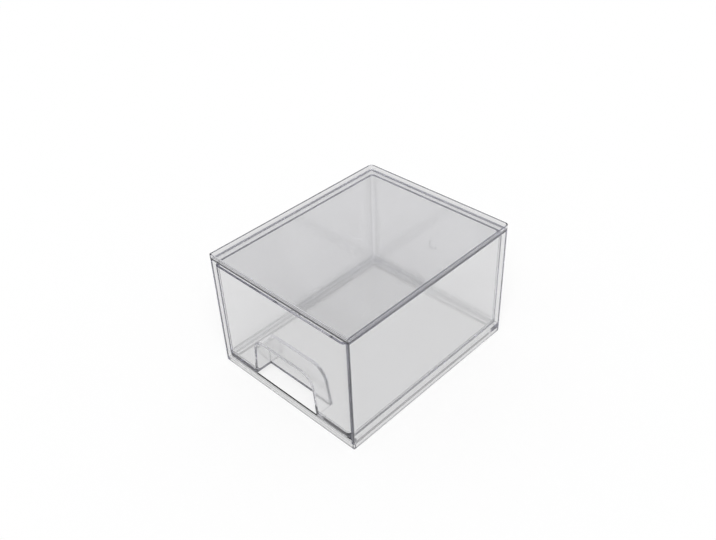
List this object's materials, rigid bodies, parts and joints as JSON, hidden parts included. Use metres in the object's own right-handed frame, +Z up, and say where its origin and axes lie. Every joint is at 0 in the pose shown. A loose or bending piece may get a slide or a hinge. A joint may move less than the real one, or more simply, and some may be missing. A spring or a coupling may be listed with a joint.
{
  "type": "drawer box",
  "caption": "Clear plastic stackable drawer box: an open-fronted case, a separate top cover with a raised stacking rim, and one pull-out drawer with a finger pocket in its front.",
  "frame": {"origin": "centre of the case's footprint, on the surface that the box stands on", "axes": "+Z up; +X to the right seen from the front; the drawer's front faces -Y"},
  "size_m": [0.165, 0.202, 0.1205],
  "materials": {
    "case_plastic": "clear, polished",
    "cover_plastic": "clear, polished",
    "drawer_plastic": "clear, polished"
  },
  "bodies": {
    "housing": {"case_shell": "case_plastic", "top_cover": "cover_plastic"},
    "drawer": {"drawer": "drawer_plastic"}
  },
  "joints": [
    {"name": "drawer_slide", "type": "slide", "parent": "housing", "child": "drawer", "axis": [0, -1, 0], "range_m": [0, 0.17]}
  ]
}
